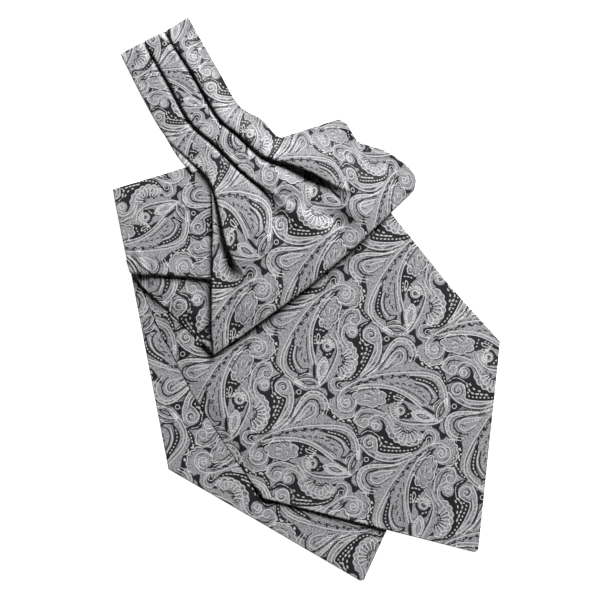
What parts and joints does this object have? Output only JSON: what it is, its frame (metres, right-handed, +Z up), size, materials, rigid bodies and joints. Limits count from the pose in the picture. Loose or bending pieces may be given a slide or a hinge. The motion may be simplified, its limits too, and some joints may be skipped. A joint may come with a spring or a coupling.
{
  "type": "silk cravat",
  "caption": "Folded self-lined silk cravat lying flat: a pleated neckband opening into a fan, and two wide pointed blades, woven with a paisley pattern.",
  "frame": {"origin": "on the surface it lies on, under the middle of its outline", "axes": "+Z up, away from the surface; +Y towards the neckband, along the longest side of the outline; +X to the right as seen from above"},
  "size_m": [0.2115, 0.3079, 0.0159],
  "materials": {
    "silk_jacquard": "silver grey and black paisley jacquard silk with a soft sheen"
  },
  "bodies": {
    "root": {"back_blade_end": "silk_jacquard", "front_blade_end": "silk_jacquard", "inner_folds": "silk_jacquard", "back_blade_flap": "silk_jacquard", "neckband_lower": "silk_jacquard", "neckband_turn": "silk_jacquard", "neckband_upper": "silk_jacquard", "front_blade_fan": "silk_jacquard"}
  },
  "joints": []
}
